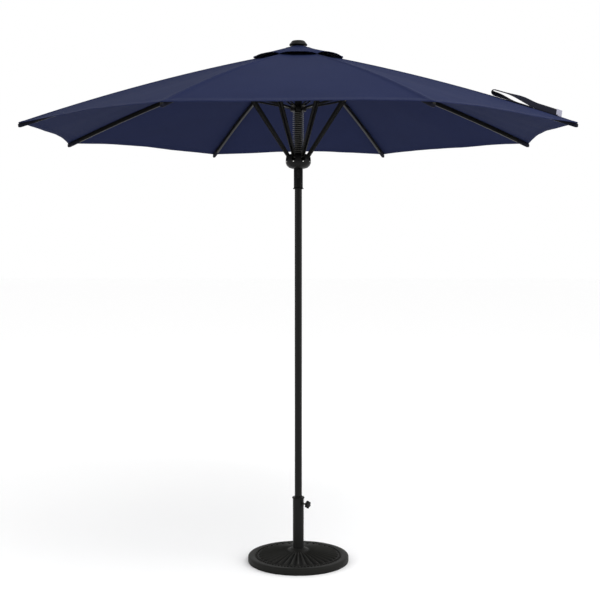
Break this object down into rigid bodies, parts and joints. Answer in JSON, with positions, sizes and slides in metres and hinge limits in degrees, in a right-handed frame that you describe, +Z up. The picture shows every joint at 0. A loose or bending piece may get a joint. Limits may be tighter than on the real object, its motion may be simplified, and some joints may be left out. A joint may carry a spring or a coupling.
{
  "type": "patio umbrella with base",
  "caption": "Push-up market umbrella on a round weighted base: ribbed navy canopy with a vent cap, sliding runner, struts, spring-backed slider and a clamp knob.",
  "frame": {"origin": "middle of the base's underside, on the ground", "axes": "+Z up along the pole; the clamp knob points 38 degrees from +X towards -Y; ribs at 22.5 degrees and every 45 degrees"},
  "size_m": [2.5012, 2.5012, 2.59],
  "materials": {
    "navy_canvas": "tight plain-weave navy canvas with a faint sheen",
    "dark_webbing": "dark navy webbing",
    "black_powder_coat": "satin black powder coat",
    "black_plastic": "moulded black plastic, semi-gloss",
    "dark_steel": "oiled dark spring steel",
    "cast_black": "black coated casting with a fine grain"
  },
  "bodies": {
    "base": {"base_plate": "cast_black", "base_tube": "black_powder_coat", "tube_rim": "black_plastic", "clamp_nut": "black_powder_coat"},
    "clamp": {"clamp_screw": "dark_steel", "clamp_knob": "black_plastic"},
    "pole": {"lower_pole": "black_powder_coat", "upper_pole": "black_powder_coat", "top_hub": "black_plastic", "hub_ring": "dark_steel", "vent_cover": "navy_canvas", "finial": "black_plastic"},
    "runner": {"runner_ball": "black_plastic", "runner_ring": "dark_steel", "runner_sleeve": "black_plastic", "lift_spring": "dark_steel"},
    "button": {"release_button": "black_plastic"},
    "slider": {"slider_hub": "black_plastic", "slider_ring": "dark_steel"},
    "rib_arm_1": {"rib_1": "black_powder_coat", "rib_tip_1": "black_plastic", "canopy_panel_1": "navy_canvas"},
    "strut_arm_1": {"strut_1": "black_powder_coat"},
    "link_arm_1": {"link_1": "black_powder_coat"},
    "rib_arm_2": {"rib_2": "black_powder_coat", "rib_tip_2": "black_plastic", "canopy_panel_2": "navy_canvas"},
    "strut_arm_2": {"strut_2": "black_powder_coat"},
    "link_arm_2": {"link_2": "black_powder_coat"},
    "rib_arm_3": {"rib_3": "black_powder_coat", "rib_tip_3": "black_plastic", "canopy_panel_3": "navy_canvas"},
    "strut_arm_3": {"strut_3": "black_powder_coat"},
    "link_arm_3": {"link_3": "black_powder_coat"},
    "rib_arm_4": {"rib_4": "black_powder_coat", "rib_tip_4": "black_plastic", "canopy_panel_4": "navy_canvas"},
    "strut_arm_4": {"strut_4": "black_powder_coat"},
    "link_arm_4": {"link_4": "black_powder_coat"},
    "rib_arm_5": {"rib_5": "black_powder_coat", "rib_tip_5": "black_plastic", "canopy_panel_5": "navy_canvas"},
    "strut_arm_5": {"strut_5": "black_powder_coat"},
    "link_arm_5": {"link_5": "black_powder_coat"},
    "rib_arm_6": {"rib_6": "black_powder_coat", "rib_tip_6": "black_plastic", "canopy_panel_6": "navy_canvas"},
    "strut_arm_6": {"strut_6": "black_powder_coat"},
    "link_arm_6": {"link_6": "black_powder_coat"},
    "rib_arm_7": {"rib_7": "black_powder_coat", "rib_tip_7": "black_plastic", "canopy_panel_7": "navy_canvas"},
    "strut_arm_7": {"strut_7": "black_powder_coat"},
    "link_arm_7": {"link_7": "black_powder_coat"},
    "rib_arm_8": {"rib_8": "black_powder_coat", "rib_tip_8": "black_plastic", "canopy_panel_8": "navy_canvas", "closing_strap": "dark_webbing"},
    "strut_arm_8": {"strut_8": "black_powder_coat"},
    "link_arm_8": {"link_8": "black_powder_coat"}
  },
  "joints": [
    {"name": "pole_turn", "type": "hinge", "parent": "base", "child": "pole", "pos_m": [0, 0, 0.3], "axis": [0, 0, 1], "continuous": true},
    {"name": "clamp_turn", "type": "hinge", "parent": "base", "child": "clamp", "pos_m": [0.04728, -0.03694, 0.294], "axis": [0.788, -0.6157, 0], "continuous": true},
    {"name": "runner_slide", "type": "slide", "parent": "pole", "child": "runner", "axis": [0, 0, -1], "range_m": [0, 0.32371], "deforming": ["lift_spring"]},
    {"name": "slider_slide", "type": "slide", "parent": "pole", "child": "slider", "axis": [0, 0, -1], "range_m": [0, 0.43445]},
    {"name": "button_press", "type": "slide", "parent": "runner", "child": "button", "axis": [0, 1, 0], "range_m": [0, 0.0022], "stiffness_N_per_m": 400, "springref_m": -0.002},
    {"name": "rib_fold_1", "type": "hinge", "parent": "pole", "child": "rib_arm_1", "pos_m": [0.0388, 0.01607, 2.52], "axis": [-0.3827, 0.9239, 0], "range_deg": [0, 68.14], "deforming": ["canopy_panel_1"]},
    {"name": "strut_fold_1", "type": "hinge", "parent": "runner", "child": "strut_arm_1", "pos_m": [0.04527, 0.01875, 2.02], "axis": [-0.3827, 0.9239, 0], "range_deg": [-30.56, 0]},
    {"name": "link_fold_1", "type": "hinge", "parent": "slider", "child": "link_arm_1", "pos_m": [0.02772, 0.01148, 2.262], "axis": [-0.3827, 0.9239, 0], "range_deg": [-65.98, 0]},
    {"name": "rib_fold_2", "type": "hinge", "parent": "pole", "child": "rib_arm_2", "pos_m": [0.01607, 0.0388, 2.52], "axis": [-0.9239, 0.3827, 0], "range_deg": [0, 68.14], "deforming": ["canopy_panel_2"]},
    {"name": "strut_fold_2", "type": "hinge", "parent": "runner", "child": "strut_arm_2", "pos_m": [0.01875, 0.04527, 2.02], "axis": [-0.9239, 0.3827, 0], "range_deg": [-30.56, 0]},
    {"name": "link_fold_2", "type": "hinge", "parent": "slider", "child": "link_arm_2", "pos_m": [0.01148, 0.02772, 2.262], "axis": [-0.9239, 0.3827, 0], "range_deg": [-65.98, 0]},
    {"name": "rib_fold_3", "type": "hinge", "parent": "pole", "child": "rib_arm_3", "pos_m": [-0.01607, 0.0388, 2.52], "axis": [-0.9239, -0.3827, 0], "range_deg": [0, 68.14], "deforming": ["canopy_panel_3"]},
    {"name": "strut_fold_3", "type": "hinge", "parent": "runner", "child": "strut_arm_3", "pos_m": [-0.01875, 0.04527, 2.02], "axis": [-0.9239, -0.3827, 0], "range_deg": [-30.56, 0]},
    {"name": "link_fold_3", "type": "hinge", "parent": "slider", "child": "link_arm_3", "pos_m": [-0.01148, 0.02772, 2.262], "axis": [-0.9239, -0.3827, 0], "range_deg": [-65.98, 0]},
    {"name": "rib_fold_4", "type": "hinge", "parent": "pole", "child": "rib_arm_4", "pos_m": [-0.0388, 0.01607, 2.52], "axis": [-0.3827, -0.9239, 0], "range_deg": [0, 68.14], "deforming": ["canopy_panel_4"]},
    {"name": "strut_fold_4", "type": "hinge", "parent": "runner", "child": "strut_arm_4", "pos_m": [-0.04527, 0.01875, 2.02], "axis": [-0.3827, -0.9239, 0], "range_deg": [-30.56, 0]},
    {"name": "link_fold_4", "type": "hinge", "parent": "slider", "child": "link_arm_4", "pos_m": [-0.02772, 0.01148, 2.262], "axis": [-0.3827, -0.9239, 0], "range_deg": [-65.98, 0]},
    {"name": "rib_fold_5", "type": "hinge", "parent": "pole", "child": "rib_arm_5", "pos_m": [-0.0388, -0.01607, 2.52], "axis": [0.3827, -0.9239, 0], "range_deg": [0, 68.14], "deforming": ["canopy_panel_5"]},
    {"name": "strut_fold_5", "type": "hinge", "parent": "runner", "child": "strut_arm_5", "pos_m": [-0.04527, -0.01875, 2.02], "axis": [0.3827, -0.9239, 0], "range_deg": [-30.56, 0]},
    {"name": "link_fold_5", "type": "hinge", "parent": "slider", "child": "link_arm_5", "pos_m": [-0.02772, -0.01148, 2.262], "axis": [0.3827, -0.9239, 0], "range_deg": [-65.98, 0]},
    {"name": "rib_fold_6", "type": "hinge", "parent": "pole", "child": "rib_arm_6", "pos_m": [-0.01607, -0.0388, 2.52], "axis": [0.9239, -0.3827, 0], "range_deg": [0, 68.14], "deforming": ["canopy_panel_6"]},
    {"name": "strut_fold_6", "type": "hinge", "parent": "runner", "child": "strut_arm_6", "pos_m": [-0.01875, -0.04527, 2.02], "axis": [0.9239, -0.3827, 0], "range_deg": [-30.56, 0]},
    {"name": "link_fold_6", "type": "hinge", "parent": "slider", "child": "link_arm_6", "pos_m": [-0.01148, -0.02772, 2.262], "axis": [0.9239, -0.3827, 0], "range_deg": [-65.98, 0]},
    {"name": "rib_fold_7", "type": "hinge", "parent": "pole", "child": "rib_arm_7", "pos_m": [0.01607, -0.0388, 2.52], "axis": [0.9239, 0.3827, 0], "range_deg": [0, 68.14], "deforming": ["canopy_panel_7"]},
    {"name": "strut_fold_7", "type": "hinge", "parent": "runner", "child": "strut_arm_7", "pos_m": [0.01875, -0.04527, 2.02], "axis": [0.9239, 0.3827, 0], "range_deg": [-30.56, 0]},
    {"name": "link_fold_7", "type": "hinge", "parent": "slider", "child": "link_arm_7", "pos_m": [0.01148, -0.02772, 2.262], "axis": [0.9239, 0.3827, 0], "range_deg": [-65.98, 0]},
    {"name": "rib_fold_8", "type": "hinge", "parent": "pole", "child": "rib_arm_8", "pos_m": [0.0388, -0.01607, 2.52], "axis": [0.3827, 0.9239, 0], "range_deg": [0, 68.14], "deforming": ["canopy_panel_8", "closing_strap"]},
    {"name": "strut_fold_8", "type": "hinge", "parent": "runner", "child": "strut_arm_8", "pos_m": [0.04527, -0.01875, 2.02], "axis": [0.3827, 0.9239, 0], "range_deg": [-30.56, 0]},
    {"name": "link_fold_8", "type": "hinge", "parent": "slider", "child": "link_arm_8", "pos_m": [0.02772, -0.01148, 2.262], "axis": [0.3827, 0.9239, 0], "range_deg": [-65.98, 0]}
  ],
  "couplings": [
    {"joint": "slider_slide", "follows": "runner_slide", "ratio": 1.3394},
    {"joint": "rib_fold_1", "follows": "runner_slide", "rad_per_m": 3.6663},
    {"joint": "strut_fold_1", "follows": "runner_slide", "rad_per_m": -1.6442},
    {"joint": "link_fold_1", "follows": "runner_slide", "rad_per_m": -3.5501},
    {"joint": "rib_fold_2", "follows": "runner_slide", "rad_per_m": 3.6663},
    {"joint": "strut_fold_2", "follows": "runner_slide", "rad_per_m": -1.6442},
    {"joint": "link_fold_2", "follows": "runner_slide", "rad_per_m": -3.5501},
    {"joint": "rib_fold_3", "follows": "runner_slide", "rad_per_m": 3.6663},
    {"joint": "strut_fold_3", "follows": "runner_slide", "rad_per_m": -1.6442},
    {"joint": "link_fold_3", "follows": "runner_slide", "rad_per_m": -3.5501},
    {"joint": "rib_fold_4", "follows": "runner_slide", "rad_per_m": 3.6663},
    {"joint": "strut_fold_4", "follows": "runner_slide", "rad_per_m": -1.6442},
    {"joint": "link_fold_4", "follows": "runner_slide", "rad_per_m": -3.5501},
    {"joint": "rib_fold_5", "follows": "runner_slide", "rad_per_m": 3.6663},
    {"joint": "strut_fold_5", "follows": "runner_slide", "rad_per_m": -1.6442},
    {"joint": "link_fold_5", "follows": "runner_slide", "rad_per_m": -3.5501},
    {"joint": "rib_fold_6", "follows": "runner_slide", "rad_per_m": 3.6663},
    {"joint": "strut_fold_6", "follows": "runner_slide", "rad_per_m": -1.6442},
    {"joint": "link_fold_6", "follows": "runner_slide", "rad_per_m": -3.5501},
    {"joint": "rib_fold_7", "follows": "runner_slide", "rad_per_m": 3.6663},
    {"joint": "strut_fold_7", "follows": "runner_slide", "rad_per_m": -1.6442},
    {"joint": "link_fold_7", "follows": "runner_slide", "rad_per_m": -3.5501},
    {"joint": "rib_fold_8", "follows": "runner_slide", "rad_per_m": 3.6663},
    {"joint": "strut_fold_8", "follows": "runner_slide", "rad_per_m": -1.6442},
    {"joint": "link_fold_8", "follows": "runner_slide", "rad_per_m": -3.5501}
  ]
}
